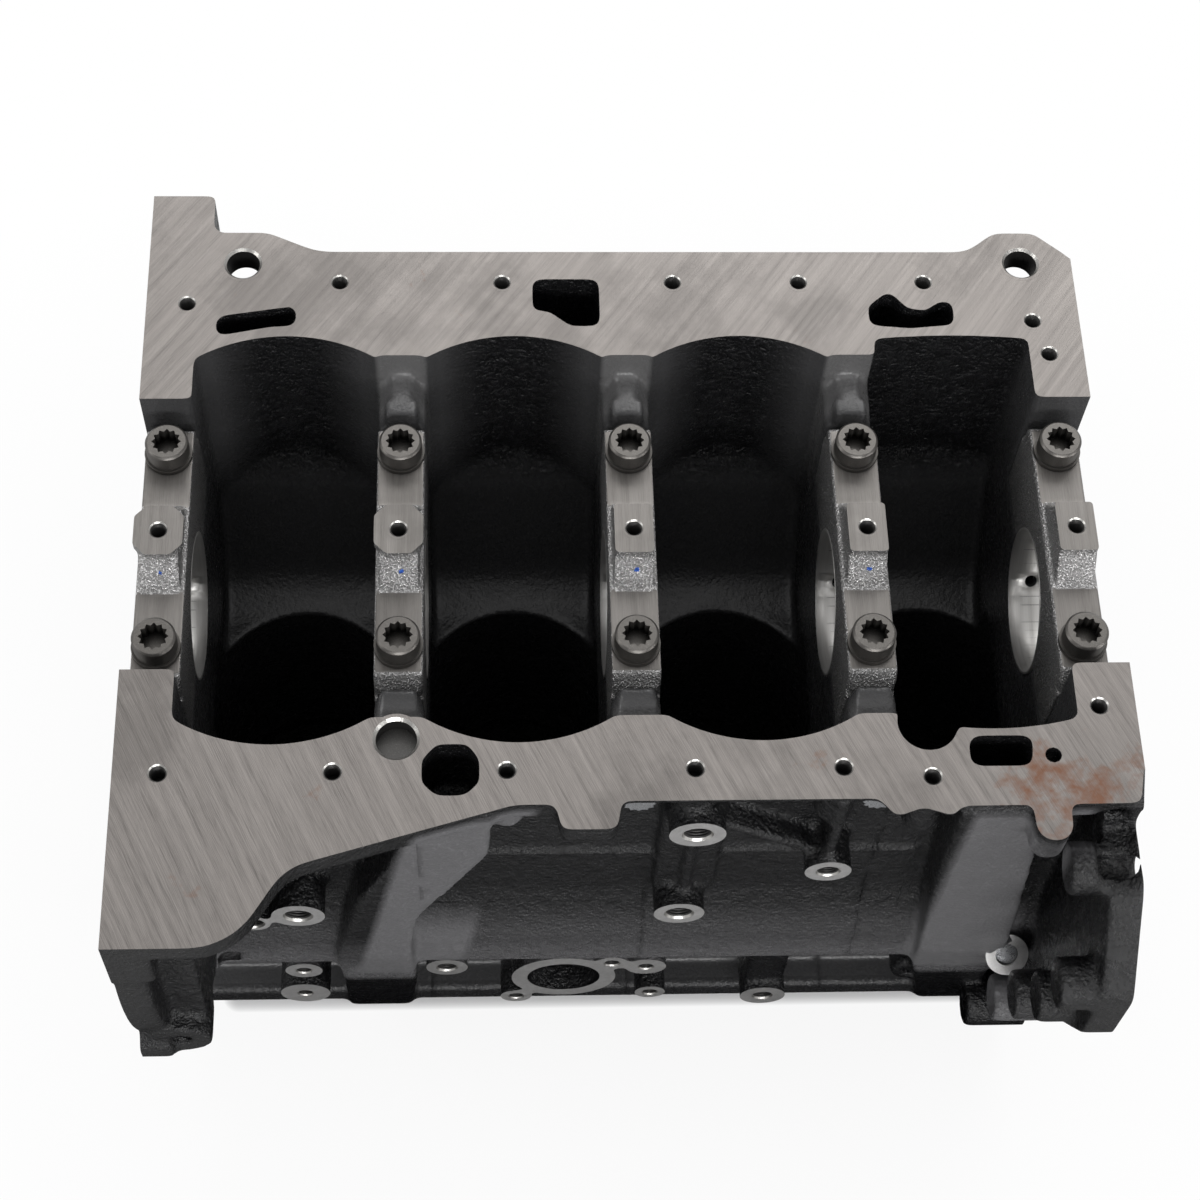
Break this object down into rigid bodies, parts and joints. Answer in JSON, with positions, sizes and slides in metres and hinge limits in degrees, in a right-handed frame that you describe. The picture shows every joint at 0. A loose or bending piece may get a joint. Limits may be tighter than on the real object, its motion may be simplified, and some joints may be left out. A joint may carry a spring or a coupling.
{
  "type": "engine block",
  "caption": "Bare four-cylinder cast-iron engine block with main bearing caps and their bolts, deck face down and sump rail up.",
  "frame": {"origin": "on the cylinder head deck, under the centre main bearing", "axes": "+X along the crankshaft towards the timing end, +Y towards the plain far side, +Z from the deck to the sump rail"},
  "size_m": [0.3676, 0.332, 0.279],
  "materials": {
    "block_casting": "black painted casting with machined faces",
    "cap_iron": "rough dark casting with machined seats",
    "phosphate_steel": "dark phosphate",
    "zinc_steel": "bright zinc",
    "plug_steel": "plain steel"
  },
  "bodies": {
    "root": {"core_plug_1": "plug_steel", "core_plug_2": "plug_steel", "core_plug_3": "plug_steel", "cross_bolt_2_far": "zinc_steel", "cross_bolt_2_near": "zinc_steel", "cross_bolt_3_far": "zinc_steel", "cross_bolt_3_near": "zinc_steel", "cross_bolt_4_far": "zinc_steel", "cross_bolt_4_near": "zinc_steel", "cylinder_block": "block_casting", "duct_plug": "plug_steel", "main_bolt_1_far": "phosphate_steel", "main_bolt_1_near": "phosphate_steel", "main_bolt_2_far": "phosphate_steel", "main_bolt_2_near": "phosphate_steel", "main_bolt_3_far": "phosphate_steel", "main_bolt_3_near": "phosphate_steel", "main_bolt_4_far": "phosphate_steel", "main_bolt_4_near": "phosphate_steel", "main_bolt_5_far": "phosphate_steel", "main_bolt_5_near": "phosphate_steel", "main_cap_1": "cap_iron", "main_cap_2": "cap_iron", "main_cap_3": "cap_iron", "main_cap_4": "cap_iron", "main_cap_5": "cap_iron", "rail_bore_plug": "plug_steel"}
  },
  "joints": []
}
